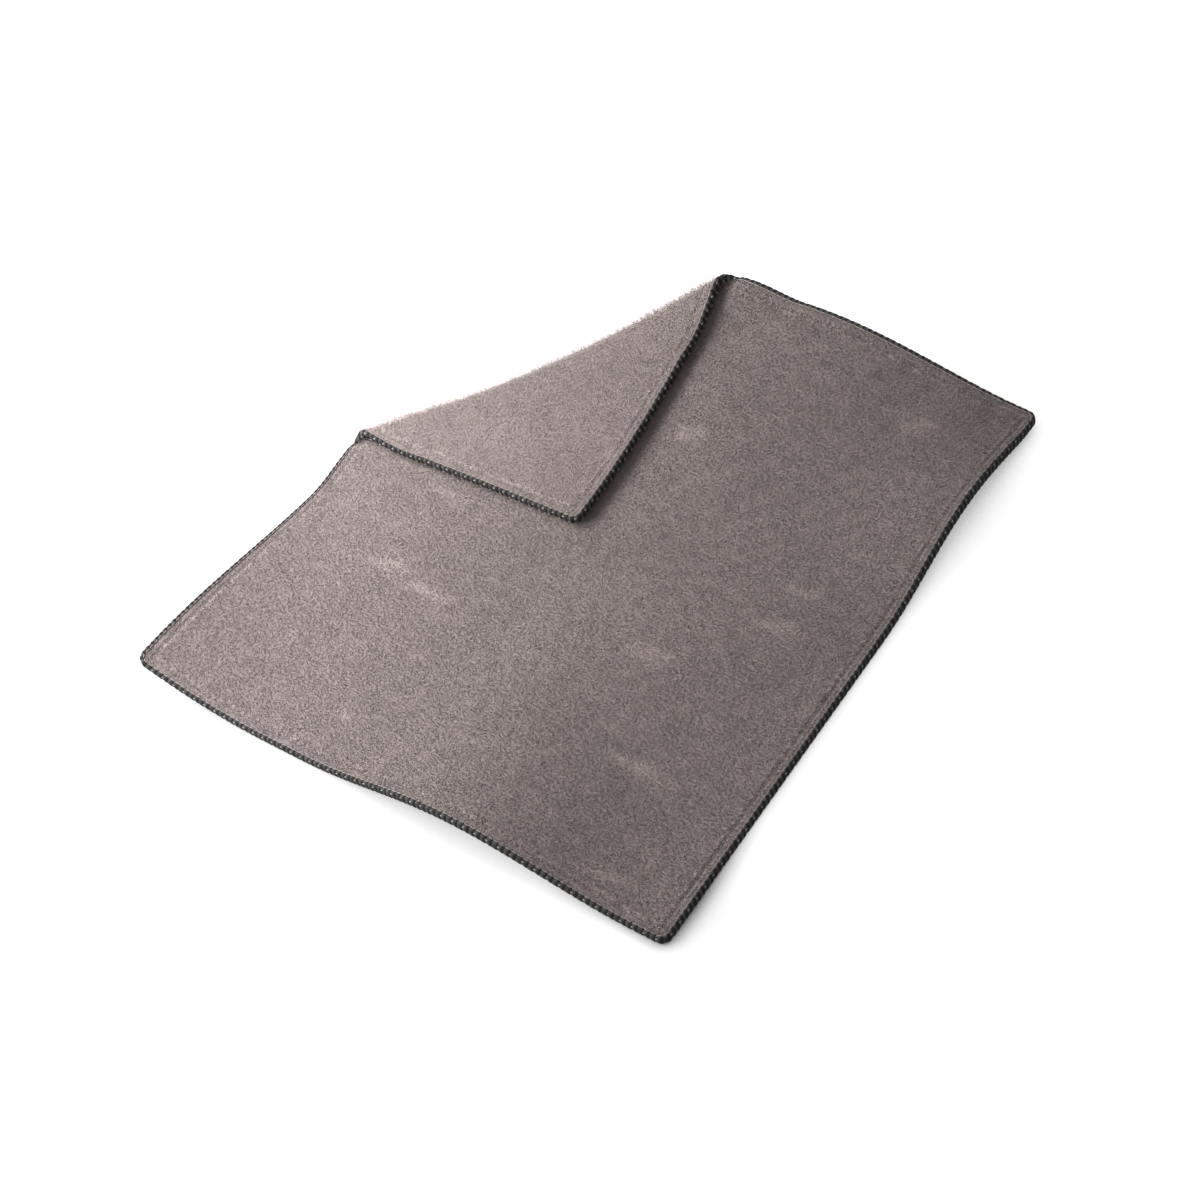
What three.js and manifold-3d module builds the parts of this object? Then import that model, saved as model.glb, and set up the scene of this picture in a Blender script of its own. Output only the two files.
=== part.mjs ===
// A plush microfibre cloth with an overlocked edge, lying on a surface with one corner folded over.
// Each piece is made flat, as it is sewn, then cut at the fold and laid on the waves of the cloth.
import * as THREE from 'three';
import { mergeVertices } from 'three/addons/utils/BufferGeometryUtils.js';
import Module from 'manifold-3d';

const wasm = await Module();
wasm.setup();

// Cloth, in millimetres
const SIDE = 400; // width and length of the flat cloth
const CORNER_RADIUS = 5;
const CLOTH_THICKNESS = 6; // both layers with their pile
const CLEARANCE = 0.3; // between neighbouring pieces

// Overlocked edge and border seam
const PRESSED_THICKNESS = 4.2; // both layers where the overlock presses them
const OVERLOCK_WIDTH = 1.2; // on each face, in from the edge
const OVERLOCK_BEAD = 1.9; // out from the edge
const LOOPER_THICKNESS = 0.6; // on each face
const THREAD_DIAMETER = 0.6;
const PRESSED_MARGIN = 0.3; // pressed cloth beyond the overlock
const PILE_RISE = 0.8; // width over which the pile recovers its height
const SEAM_INSET = 5.5;
const SEAM_DIP = 1.2;
const SEAM_DIP_WIDTH = 3.6;
const SEAM_CORNER_RADIUS = 1;

// Fold
const FOLD_LEFT_LEG = 195; // from the folded corner along the left edge
const FOLD_REAR_LEG = 196; // from the folded corner along the rear edge
const FOLD_RADIUS = 4.2; // middle of the cloth, at the roll
const FOLD_RISE = 37; // height of the fold at the rear edge
const FOLD_RISE_EASE = 0.15; // share of the fold over which the climb begins
const FOLD_RISE_POWER = 1.8; // above 1 the fold sags between its ends
const FOLD_RISE_REACH = 160;
const FOLD_LEFT_LIFT = 5.5; // the ends of the roll stand up a little more
const FOLD_REAR_LIFT = 10;
const FOLD_LIFT_POWER = 3;
const FOLD_LIFT_REACH = 34;

// Waves along the edges
const LEFT_CURL_HEIGHT = 22.5;
const LEFT_CURL_REACH = 97;
const FRONT_WAVE_HEIGHT = 19;
const FRONT_WAVE_CENTRE = 55;
const FRONT_WAVE_HALF_LENGTH = 126;
const FRONT_WAVE_REACH = 258;
const RIGHT_WAVE_HEIGHT = 13.5;
const RIGHT_WAVE_CENTRE = 121;
const RIGHT_WAVE_HALF_LENGTH = 102;
const RIGHT_WAVE_REACH = 160;

// Fineness
const INNER_CELLS = 15;
const ROLL_STEPS = 10;
const ROLL_STATION = 1.2;
const ARC_STEPS = 5;

const half = SIDE / 2;
const pressed = PRESSED_THICKNESS / 2;
const pile = CLOTH_THICKNESS / 2;
const pressedWidth = OVERLOCK_WIDTH + THREAD_DIAMETER + 2 * CLEARANCE + PRESSED_MARGIN;
const foldStart = new THREE.Vector2(-half, half - FOLD_LEFT_LEG);
const foldEnd = new THREE.Vector2(FOLD_REAR_LEG - half, half);
const foldLength = foldStart.distanceTo(foldEnd);
const foldAlong = foldEnd.clone().sub(foldStart).normalize();
const foldOut = new THREE.Vector2(-foldAlong.y, foldAlong.x);
const rollLength = Math.PI * FOLD_RADIUS;

// Fold coordinates: "along" is 0 at the left edge and 1 at the rear edge, "across" is in millimetres
function foldCoordinates(x, y) {
  const reach = new THREE.Vector2(x, y).sub(foldStart);
  const along = reach.dot(foldAlong) / foldLength;
  return { along, across: reach.dot(foldOut) };
}

function foldPoint(along, across) {
  return foldStart.clone()
    .addScaledVector(foldAlong, along * foldLength)
    .addScaledVector(foldOut, across);
}

// Waves of the cloth
function bump(offset, halfLength) {
  return Math.abs(offset) < halfLength ? Math.cos((Math.PI / 2) * (offset / halfLength)) ** 2 : 0;
}

function fade(distance, reach) {
  return Math.max(0, 1 - distance / reach) ** 2;
}

function middleHeight(x, y) {
  const { along, across } = foldCoordinates(x, y);
  const climb = ((along + Math.hypot(along, FOLD_RISE_EASE)) / 2) ** FOLD_RISE_POWER;
  const share = THREE.MathUtils.clamp(along, 0, 1);
  const lift = FOLD_LEFT_LIFT * (1 - share) ** FOLD_LIFT_POWER + FOLD_REAR_LIFT * share ** FOLD_LIFT_POWER;
  const before = Math.max(-across, 0);
  return pile
    + LEFT_CURL_HEIGHT * bump(y + half, SIDE - FOLD_LEFT_LEG) * fade(x + half, LEFT_CURL_REACH)
    + FRONT_WAVE_HEIGHT * bump(x - FRONT_WAVE_CENTRE, FRONT_WAVE_HALF_LENGTH) * fade(y + half, FRONT_WAVE_REACH)
    + RIGHT_WAVE_HEIGHT * bump(y - RIGHT_WAVE_CENTRE, RIGHT_WAVE_HALF_LENGTH) * fade(half - x, RIGHT_WAVE_REACH)
    + FOLD_RISE * climb * bump(before, FOLD_RISE_REACH)
    + lift * bump(before, FOLD_LIFT_REACH);
}

function middlePoint(x, y) {
  return new THREE.Vector3(x, y, middleHeight(x, y));
}

function middleNormal(x, y) {
  const step = 0.5;
  const slopeX = (middleHeight(x + step, y) - middleHeight(x - step, y)) / (2 * step);
  const slopeY = (middleHeight(x, y + step) - middleHeight(x, y - step)) / (2 * step);
  return new THREE.Vector3(-slopeX, -slopeY, 1).normalize();
}

// Where a point of the flat cloth lies; "depth" is its distance from the middle, towards the face side
function layPoint(x, y, depth) {
  const { along, across } = foldCoordinates(x, y);
  if (across <= 0) {
    return middlePoint(x, y).addScaledVector(middleNormal(x, y), depth);
  }
  if (across >= rollLength) {
    const under = foldPoint(along, rollLength - across);
    const up = middleNormal(under.x, under.y);
    return middlePoint(under.x, under.y).addScaledVector(up, 2 * FOLD_RADIUS - depth);
  }
  const line = foldPoint(along, 0);
  const up = middleNormal(line.x, line.y);
  const turn = across / FOLD_RADIUS;
  const spoke = new THREE.Vector3(foldOut.x, foldOut.y, 0).multiplyScalar(Math.sin(turn));
  spoke.addScaledVector(up, -Math.cos(turn));
  return middlePoint(line.x, line.y)
    .addScaledVector(up, FOLD_RADIUS)
    .addScaledVector(spoke, FOLD_RADIUS - depth);
}

// Flat solids
function solidOf(geometry) {
  geometry.deleteAttribute('normal');
  geometry.deleteAttribute('uv');
  const closed = mergeVertices(geometry, 1e-4);
  const vertProperties = Float32Array.from(closed.attributes.position.array);
  const triVerts = Uint32Array.from(closed.index.array);
  // A face number for each triangle keeps the flat faces divided, so that they can bend when they are laid
  const faceID = Uint32Array.from({ length: triVerts.length / 3 }, (_, i) => i);
  return new wasm.Manifold(new wasm.Mesh({ numProp: 3, vertProperties, triVerts, faceID }));
}

function prism(points) {
  const depth = 4 * CLOTH_THICKNESS;
  const geometry = new THREE.ExtrudeGeometry(new THREE.Shape(points), { depth, bevelEnabled: false });
  return solidOf(geometry.translate(0, 0, -depth / 2));
}

function slab(columns, rows, pointAt, lowAt, highAt) {
  const box = new THREE.BoxGeometry(1, 1, 1, columns.length - 1, rows.length - 1, 1);
  const position = box.attributes.position;
  for (let i = 0; i < position.count; i += 1) {
    const column = columns[Math.round((position.getX(i) + 0.5) * (columns.length - 1))];
    const row = rows[Math.round((position.getY(i) + 0.5) * (rows.length - 1))];
    const point = pointAt(column, row);
    const depth = position.getZ(i) > 0 ? highAt(point) : lowAt(point);
    position.setXYZ(i, point.x, point.y, depth);
  }
  return solidOf(box);
}

function edgeDistance(point) {
  const inner = half - CORNER_RADIUS;
  const dx = Math.abs(point.x) - inner;
  const dy = Math.abs(point.y) - inner;
  const outside = Math.hypot(Math.max(dx, 0), Math.max(dy, 0));
  return CORNER_RADIUS - outside - Math.min(Math.max(dx, dy), 0);
}

// Half thickness of the lying cloth: pressed at the overlock and drawn in at the border seam
function pileHeight(point) {
  const distance = edgeDistance(point);
  const risen = THREE.MathUtils.clamp((distance - pressedWidth) / PILE_RISE, 0, 1);
  const dip = Math.max(0, 1 - Math.abs(distance - SEAM_INSET) / (SEAM_DIP_WIDTH / 2));
  return THREE.MathUtils.lerp(pressed, pile, risen) - SEAM_DIP * dip;
}

// At the roll the pile of both rims stays flat until it is past the seam
function rollPileHeight(point) {
  const start = SEAM_INSET + THREAD_DIAMETER;
  const risen = THREE.MathUtils.clamp((edgeDistance(point) - start) / SEAM_DIP_WIDTH, 0, 1);
  return THREE.MathUtils.lerp(Math.min(pressed, pile - SEAM_DIP), pile, risen);
}

function sewingLines() {
  const seamHalf = SEAM_DIP_WIDTH / 2;
  const rim = [0, pressedWidth, pressedWidth + PILE_RISE,
    SEAM_INSET - seamHalf, SEAM_INSET, SEAM_INSET + seamHalf];
  const innerHalf = half - SEAM_INSET - seamHalf;
  const lines = rim.map((inset) => inset - half);
  for (let i = 1; i < INNER_CELLS; i += 1) {
    lines.push(innerHalf * (2 * i / INNER_CELLS - 1));
  }
  return lines.concat(rim.map((inset) => half - inset).reverse());
}

function rollLines() {
  const rim = 2 * rollLength;
  const lines = [];
  for (let i = -1; i <= 9; i += 1) {
    lines.push(rim * i / 9);
  }
  for (let i = 1; i < 9; i += 1) {
    lines.push(rim + (foldLength - 2 * rim) * i / 9);
  }
  for (let i = 9; i >= -1; i -= 1) {
    lines.push(foldLength - rim * i / 9);
  }
  return lines.map((length) => length / foldLength);
}

// Path round the cloth, counter-clockwise seen from the face side
function edgePath(inset, radius) {
  const reach = half - inset;
  const fine = Array.from({ length: Math.floor(SIDE / ROLL_STATION) }, (_, i) => i * ROLL_STATION - half);
  const path = [];
  for (let side = 0; side < 4; side += 1) {
    const ahead = new THREE.Vector2(1, 0).rotateAround(new THREE.Vector2(), side * Math.PI / 2);
    const inward = new THREE.Vector2(-ahead.y, ahead.x);
    const pointAt = (length) => ahead.clone().multiplyScalar(length).addScaledVector(inward, -reach);
    const atRoll = fine.filter((length) => {
      const { across } = foldCoordinates(...pointAt(length));
      return across > 0 && across < rollLength;
    });
    const lengths = sewingLines().concat(side > 1 ? atRoll : [])
      .filter((length) => Math.abs(length) < reach - radius - CLEARANCE)
      .sort((a, b) => a - b)
      .filter((length, i, all) => i === 0 || length - all[i - 1] > CLEARANCE);
    lengths.forEach((length) => path.push({ point: pointAt(length), inward }));
    const centre = pointAt(reach - radius).addScaledVector(inward, radius);
    for (let step = 0; step <= ARC_STEPS; step += 1) {
      const turned = inward.clone().rotateAround(new THREE.Vector2(), (Math.PI / 2) * step / ARC_STEPS);
      path.push({ point: centre.clone().addScaledVector(turned, -radius), inward: turned });
    }
  }
  return path;
}

function edgeThread(path, section) {
  const positions = [];
  const index = [];
  const count = section.length;
  path.forEach(({ point, inward }, station) => {
    const next = (station + 1) % path.length;
    section.forEach(([inset, depth], corner) => {
      const place = point.clone().addScaledVector(inward, inset);
      positions.push(place.x, place.y, depth);
      const after = (corner + 1) % count;
      const here = [station * count + corner, station * count + after];
      const there = [next * count + corner, next * count + after];
      index.push(here[0], here[1], there[1], here[0], there[1], there[0]);
    });
  });
  const geometry = new THREE.BufferGeometry();
  geometry.setAttribute('position', new THREE.Float32BufferAttribute(positions, 3));
  geometry.setIndex(index);
  return solidOf(geometry);
}

function threadSection(inset, depth) {
  const radius = THREAD_DIAMETER / 2;
  return [[inset + radius, depth], [inset, depth + radius], [inset - radius, depth], [inset, depth - radius]];
}

// Zones of the flat cloth: lying, rolled and folded over
function zone(from, to, begin = -4, end = 5) {
  return prism([foldPoint(begin, from), foldPoint(end, from), foldPoint(end, to), foldPoint(begin, to)]);
}

const gap = CLEARANCE / 2;
const far = 2 * SIDE;
const lyingZone = zone(-far, -gap);
const cornerZone = zone(rollLength + gap, far);
const leftRollZone = zone(gap, rollLength - gap, -4, 0.5);
const rearRollZone = zone(gap, rollLength - gap, 0.5, 5);

const outline = prism(edgePath(0, CORNER_RADIUS).map(({ point }) => point));
const lines = sewingLines();
const layer = slab(lines, lines, (x, y) => new THREE.Vector2(x, y), () => gap, pileHeight).intersect(outline);
const acrossRoll = [];
for (let i = 0; i <= ROLL_STEPS; i += 1) {
  acrossRoll.push(gap + (rollLength - CLEARANCE) * i / ROLL_STEPS);
}
const roll = slab(rollLines(), acrossRoll, foldPoint, () => gap, rollPileHeight).intersect(outline);

const looperUnder = pressed + CLEARANCE;
const looperTop = looperUnder + LOOPER_THICKNESS;
const looperOut = -CLEARANCE - OVERLOCK_BEAD;
const looperSection = [
  [OVERLOCK_WIDTH, looperUnder],
  [OVERLOCK_WIDTH, looperTop - LOOPER_THICKNESS / 3],
  [OVERLOCK_WIDTH / 2, looperTop],
  [-CLEARANCE, looperTop],
  [-CLEARANCE - 0.7 * OVERLOCK_BEAD, 0.75 * looperTop],
  [looperOut, 0.4 * looperTop],
  [looperOut, gap],
  [-CLEARANCE, gap],
  [-CLEARANCE, looperUnder],
  [OVERLOCK_WIDTH / 2, looperUnder],
];
const needleInset = OVERLOCK_WIDTH + CLEARANCE + THREAD_DIAMETER / 2;
const needleSection = threadSection(needleInset, looperUnder + THREAD_DIAMETER / 2);
const seamDepth = pile - SEAM_DIP + CLEARANCE + THREAD_DIAMETER / 2;
const edge = edgePath(0, CORNER_RADIUS);
const seam = edgePath(SEAM_INSET, SEAM_CORNER_RADIUS);
const looper = edgeThread(edge, looperSection);
const needle = edgeThread(edge, needleSection);
const seamThread = edgeThread(seam, threadSection(0, seamDepth));

// Laying the pieces; those of the reverse side are the face side's, turned over
const FACE = 1;
const REVERSE = -1;
const PLUSH = { color: 0x8d817e, roughness: 1 };
const THREAD = { color: 0x3c3938, roughness: 0.8 };
const part = new THREE.Group();
part.name = 'microfiber_cloth';

function addPiece(name, solid, side, finish) {
  const mesh = solid.getMesh();
  const position = new THREE.BufferAttribute(Float32Array.from(mesh.vertProperties), 3);
  for (let i = 0; i < position.count; i += 1) {
    const laid = layPoint(position.getX(i), position.getY(i), side * position.getZ(i));
    position.setXYZ(i, laid.x, laid.y, laid.z);
  }
  const corners = Uint32Array.from(mesh.triVerts);
  const geometry = new THREE.BufferGeometry();
  geometry.setAttribute('position', position);
  geometry.setIndex(new THREE.BufferAttribute(side === FACE ? corners : corners.reverse(), 1));
  geometry.computeVertexNormals();
  const piece = new THREE.Mesh(geometry, new THREE.MeshStandardMaterial({ ...finish, metalness: 0 }));
  piece.name = name;
  part.add(piece);
}

function addLayer(name, side) {
  addPiece(name, layer.intersect(lyingZone), side, PLUSH);
  addPiece(`roll_${name}`, roll, side, PLUSH);
  addPiece(`corner_${name}`, layer.intersect(cornerZone), side, PLUSH);
}

function addThread(name, ring, side) {
  addPiece(name, ring.intersect(lyingZone), side, THREAD);
  addPiece(`left_roll_${name}`, ring.intersect(leftRollZone), side, THREAD);
  addPiece(`rear_roll_${name}`, ring.intersect(rearRollZone), side, THREAD);
  addPiece(`corner_${name}`, ring.intersect(cornerZone), side, THREAD);
}

addLayer('face_plush', FACE);
addLayer('reverse_plush', REVERSE);
addThread('upper_looper', looper, FACE);
addThread('lower_looper', looper, REVERSE);
addThread('overlock_needle_thread', needle, FACE);
addThread('border_needle_thread', seamThread, FACE);
addThread('border_bobbin_thread', seamThread, REVERSE);

export default part;
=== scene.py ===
# %% [markdown]
# # A plush microfibre cloth with one corner folded over
#
# The real cloth is two layers of plush with the pile outwards, sewn together along the edge with a dark
# overlock and a straight border seam. It could be sculpted as one lump, or dropped on a floor by a cloth
# simulation. Here every piece is drawn on the flat pattern first, as points (x, y, depth), where depth is
# the distance from the middle of the cloth towards its face. One function, `lay`, then puts flat points
# where they lie: on the waves, round the fold or on the folded corner. Sheets, pile and threads all go
# through it, so they keep together, and the waves stay where the photograph shows them.

import math

import bmesh
import bpy
import numpy as np
from mathutils import Matrix, Vector, noise


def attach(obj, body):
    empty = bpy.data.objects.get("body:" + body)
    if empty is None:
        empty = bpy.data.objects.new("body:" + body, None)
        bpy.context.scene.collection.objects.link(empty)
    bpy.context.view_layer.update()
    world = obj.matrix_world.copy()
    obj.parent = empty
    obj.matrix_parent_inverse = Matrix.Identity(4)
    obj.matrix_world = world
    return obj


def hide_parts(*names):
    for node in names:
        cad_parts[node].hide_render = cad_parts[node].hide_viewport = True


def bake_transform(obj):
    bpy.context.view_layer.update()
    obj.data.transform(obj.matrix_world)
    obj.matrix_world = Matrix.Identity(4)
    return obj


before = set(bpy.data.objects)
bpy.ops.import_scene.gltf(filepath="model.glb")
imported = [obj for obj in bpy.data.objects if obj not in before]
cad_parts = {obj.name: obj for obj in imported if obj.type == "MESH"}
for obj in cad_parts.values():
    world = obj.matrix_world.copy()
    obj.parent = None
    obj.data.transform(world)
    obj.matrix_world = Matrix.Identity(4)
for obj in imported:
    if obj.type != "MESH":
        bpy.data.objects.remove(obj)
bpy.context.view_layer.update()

# %% [markdown]
# ## The flat cloth
#
# The cloth is cut as a square with slightly rounded corners. Sizes are written in millimetres times `MM`,
# because Blender works in metres here. They are the CAD model's sizes, so that the looks fit its solids.
# Only the profile of the hem and its overlock, further down, differs a little.

# %% Sizes of the flat cloth
MM = 0.001
SIDE = 400 * MM
HALF = SIDE / 2
CORNER_RADIUS = 5 * MM
PILE = 3 * MM  # half the thickness of the cloth, pile included
print("flat cloth", SIDE, "m square and", 2 * PILE, "m thick")

# %% [markdown]
# ## The fold line
#
# One corner is folded over. A flat point is measured against the fold line: how far along it the point is,
# and how far past it. The first `ROLL_LENGTH` past the line goes round a half circle, and the rest is the
# folded corner. A Simple Deform modifier could bend a sheet too, but only one object at a time. Formulas
# serve every piece, and the CAD model follows the same ones.

# %% Fold line on the flat cloth
FOLD_LEFT_LEG = 195 * MM  # from the folded corner along the left edge
FOLD_REAR_LEG = 196 * MM  # from the folded corner along the rear edge
FOLD_RADIUS = 4.2 * MM  # middle of the cloth, at the roll
FOLD_START = np.array([-HALF, HALF - FOLD_LEFT_LEG])
FOLD_END = np.array([FOLD_REAR_LEG - HALF, HALF])
FOLD_LENGTH = float(np.linalg.norm(FOLD_END - FOLD_START))
FOLD_ALONG = (FOLD_END - FOLD_START) / FOLD_LENGTH
FOLD_OUT = np.array([-FOLD_ALONG[1], FOLD_ALONG[0]])
ROLL_LENGTH = math.pi * FOLD_RADIUS


def fold_coordinates(x, y):
    """How far along the fold a flat point is, from 0 to 1, and how far past the fold line, in metres."""
    reach_x, reach_y = x - FOLD_START[0], y - FOLD_START[1]
    along = (reach_x * FOLD_ALONG[0] + reach_y * FOLD_ALONG[1]) / FOLD_LENGTH
    return along, reach_x * FOLD_OUT[0] + reach_y * FOLD_OUT[1]


def fold_point(along, across):
    """The flat point with these fold coordinates."""
    x = FOLD_START[0] + FOLD_ALONG[0] * along * FOLD_LENGTH + FOLD_OUT[0] * across
    y = FOLD_START[1] + FOLD_ALONG[1] * along * FOLD_LENGTH + FOLD_OUT[1] * across
    return x, y


print("fold line", round(FOLD_LENGTH, 4), "m long, roll", round(ROLL_LENGTH, 4), "m")

# %% [markdown]
# ## Waves
#
# The real cloth is stiff enough to keep a few soft waves along its edges. Displacing a grid with a noise
# texture would give waves too, but not these. Each wave here is a smooth bump along an edge that fades
# away from it, so its place and height can be read off the photograph.

# %% Waves along the edges
LEFT_CURL_HEIGHT = 22.5 * MM
LEFT_CURL_REACH = 97 * MM
FRONT_WAVE_HEIGHT = 19 * MM
FRONT_WAVE_CENTRE = 55 * MM
FRONT_WAVE_HALF_LENGTH = 126 * MM
FRONT_WAVE_REACH = 258 * MM
RIGHT_WAVE_HEIGHT = 13.5 * MM
RIGHT_WAVE_CENTRE = 121 * MM
RIGHT_WAVE_HALF_LENGTH = 102 * MM
RIGHT_WAVE_REACH = 160 * MM


def bump(offset, half_length):
    return np.cos(np.pi / 2 * np.clip(offset / half_length, -1, 1)) ** 2


def fade(distance, reach):
    return np.maximum(0, 1 - distance / reach) ** 2


def wave_height(x, y):
    left = LEFT_CURL_HEIGHT * bump(y + HALF, SIDE - FOLD_LEFT_LEG) * fade(x + HALF, LEFT_CURL_REACH)
    front = FRONT_WAVE_HEIGHT * bump(x - FRONT_WAVE_CENTRE, FRONT_WAVE_HALF_LENGTH)
    right = RIGHT_WAVE_HEIGHT * bump(y - RIGHT_WAVE_CENTRE, RIGHT_WAVE_HALF_LENGTH)
    return left + front * fade(y + HALF, FRONT_WAVE_REACH) + right * fade(HALF - x, RIGHT_WAVE_REACH)


print("front wave", round(float(wave_height(FRONT_WAVE_CENTRE, -HALF)), 4), "m high")

# %% [markdown]
# ## Rise of the fold
#
# The fold doesn't lie flat: it climbs from its left end to its rear end, sags between them, and both ends
# stand up a little more. The cloth in front of it is lifted along. A power of the share along the fold
# gives the sag with one number.

# %% Rise of the fold
FOLD_RISE = 37 * MM  # height of the fold at the rear edge
FOLD_RISE_EASE = 0.15  # share of the fold over which the climb begins
FOLD_RISE_POWER = 1.8  # above 1 the fold sags between its ends
FOLD_RISE_REACH = 160 * MM
FOLD_LEFT_LIFT = 5.5 * MM
FOLD_REAR_LIFT = 10 * MM
FOLD_LIFT_POWER = 3
FOLD_LIFT_REACH = 34 * MM


def fold_height(x, y):
    along, across = fold_coordinates(x, y)
    before = np.maximum(-across, 0)
    climb = ((along + np.hypot(along, FOLD_RISE_EASE)) / 2) ** FOLD_RISE_POWER
    share = np.clip(along, 0, 1)
    lift = FOLD_LEFT_LIFT * (1 - share) ** FOLD_LIFT_POWER + FOLD_REAR_LIFT * share ** FOLD_LIFT_POWER
    return FOLD_RISE * climb * bump(before, FOLD_RISE_REACH) + lift * bump(before, FOLD_LIFT_REACH)


def middle_height(x, y):
    """Height of the middle of the cloth above the floor."""
    return PILE + wave_height(x, y) + fold_height(x, y)


print("rear end of the fold", round(float(middle_height(*FOLD_END)), 4), "m high")

# %% [markdown]
# ## Laying flat points
#
# A flat point hangs from a foot on the middle surface, at its depth along the normal. Before the fold the
# foot is the point itself. On the roll it is the fold line, and past the roll it is the point that the
# folded corner covers. So one formula holds on both sides of the fold, and nothing tears there.

# %% From the flat pattern to the lying cloth
SLOPE_STEP = 0.5 * MM


def middle_normal(x, y):
    span = 2 * SLOPE_STEP
    slope_x = (middle_height(x + SLOPE_STEP, y) - middle_height(x - SLOPE_STEP, y)) / span
    slope_y = (middle_height(x, y + SLOPE_STEP) - middle_height(x, y - SLOPE_STEP)) / span
    normal = np.stack([-slope_x, -slope_y, np.ones_like(slope_x)], axis=1)
    return normal / np.linalg.norm(normal, axis=1, keepdims=True)


def lay(flat):
    """Where flat points (x, y, depth) lie."""
    x, y, depth = np.asarray(flat, float).T
    along, across = fold_coordinates(x, y)
    turn = np.clip(across / FOLD_RADIUS, 0, np.pi)[:, None]
    foot_x, foot_y = fold_point(along, np.minimum(across, 0) - np.maximum(across - ROLL_LENGTH, 0))
    up = middle_normal(foot_x, foot_y)
    foot = np.stack([foot_x, foot_y, middle_height(foot_x, foot_y)], axis=1)
    spoke = np.append(FOLD_OUT, 0) * np.sin(turn) - up * np.cos(turn)
    return foot + up * FOLD_RADIUS + spoke * (FOLD_RADIUS - depth[:, None])


print("tip of the folded corner", lay([(-HALF, HALF, 0)])[0].round(4))

# %% [markdown]
# ## Zones that move
#
# The corner can be opened, so the cloth has three zones: the lying cloth, the roll and the folded corner.
# The first and the last ride on their bodies. The roll is laid in place and rides on neither.

# %% Let pieces move with their zone
ZONE_BODIES = {"lying": "cloth", "corner": "folded_corner"}


def lay_object(piece):
    flat = np.empty(len(piece.data.vertices) * 3, np.float32)
    piece.data.vertices.foreach_get("co", flat)
    piece.data.vertices.foreach_set("co", lay(flat.reshape(-1, 3)).astype(np.float32).ravel())
    piece.data.update()


def put_in_zone(piece, zone):
    """Lays a flat piece and lets it ride on its zone's body. The roll has no body and stays where it is laid.
    """
    if zone == "roll":
        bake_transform(piece)
    lay_object(piece)
    if zone != "roll":
        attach(piece, ZONE_BODIES[zone])
    return piece


# %% [markdown]
# ## Camera
#
# The photograph was taken from above the near corner with the camera turned a little, so the camera has a
# roll as well as an azimuth and an elevation. A Track To constraint would aim it, but can't roll it. Its
# three directions are written as a matrix instead.

# %% Camera
CAMERA_LENS = 64.8  # in millimetres, as the sensor is
CAMERA_SENSOR = 36
CAMERA_TARGET = Vector((27.5 * MM, -24.3 * MM, 0))
CAMERA_DISTANCE = 1300.1 * MM
CAMERA_AZIMUTH = math.radians(53.18)
CAMERA_ELEVATION = math.radians(48.3)
CAMERA_ROLL = math.radians(-22.42)


def link_object(name, data):
    piece = bpy.data.objects.new(name, data)
    bpy.context.scene.collection.objects.link(piece)
    return piece


def add_camera():
    data = bpy.data.cameras.new("camera")
    data.lens = CAMERA_LENS
    data.sensor_width = CAMERA_SENSOR
    sine, cosine = math.sin(CAMERA_AZIMUTH), math.cos(CAMERA_AZIMUTH)
    level = math.cos(CAMERA_ELEVATION)
    back = Vector((sine * level, -cosine * level, math.sin(CAMERA_ELEVATION)))
    right = Vector((cosine, sine, 0))
    turn = Matrix((right, back.cross(right), back)).transposed() @ Matrix.Rotation(CAMERA_ROLL, 3, "Z")
    camera = link_object("camera", data)
    camera.matrix_world = Matrix.Translation(CAMERA_TARGET + back * CAMERA_DISTANCE) @ turn.to_4x4()
    bpy.context.scene.camera = camera
    return camera


print("camera at", add_camera().matrix_world.translation[:])

# %% [markdown]
# ## Helpers for nodes
#
# Materials and repeats are both built from nodes. Adding, setting and linking a node by hand takes a line for
# each input. One helper does it from a list of inputs, so that a node reads as one statement.

# %% Helpers for nodes
def set_inputs(tree, node, inputs):
    """Sets inputs of a node to values, or links them where the value is an output of another node."""
    for name, value in inputs.items():
        if isinstance(value, bpy.types.NodeSocket):
            tree.links.new(value, node.inputs[name])
        else:
            node.inputs[name].default_value = value


def add_node(tree, kind, inputs=(), **settings):
    node = tree.nodes.new(kind)
    for name, value in settings.items():
        setattr(node, name, value)
    set_inputs(tree, node, dict(inputs))
    return node


def new_material(name):
    material = bpy.data.materials.new(name)
    material.use_nodes = True
    return material, material.node_tree, material.node_tree.nodes["Principled BSDF"]


print("names of nodes and inputs as in Blender", bpy.app.version_string)

# %% [markdown]
# ## Thread
#
# The overlock is a dark thread over a greyer one, with loops of the other looper between, painted pale as
# glints, and the straight stitches have the colour of the cloth. An image could hold the shades, but noise on
# object coordinates has no seams and no pixels. A fine bump stands for the twist, which is too small here to
# be worth any faces.

# %% Thread materials
THREAD_FINISH = {"Roughness": 0.7, "Specular IOR Level": 0.08}
SHADING = (300, 3, 0.35, 0.7)  # scale per metre, detail, and the values that get the dark and light colour
TWIST = (1500, 2)
TWIST_STRENGTH = 0.4
TWIST_HEIGHT = 0.3 * MM
WHITE = (1, 1, 1)


def add_noise(tree, scale, detail):
    place = add_node(tree, "ShaderNodeTexCoord").outputs["Object"]
    inputs = {"Vector": place, "Scale": scale, "Detail": detail}
    return add_node(tree, "ShaderNodeTexNoise", inputs).outputs["Fac"]


def add_ramp(tree, factor, low, high, dark, light=WHITE):
    ramp = add_node(tree, "ShaderNodeValToRGB", {"Fac": factor})
    for element, position, colour in zip(ramp.color_ramp.elements, (low, high), (dark, light)):
        element.position = position
        element.color = (*colour, 1)
    return ramp.outputs["Color"]


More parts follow.
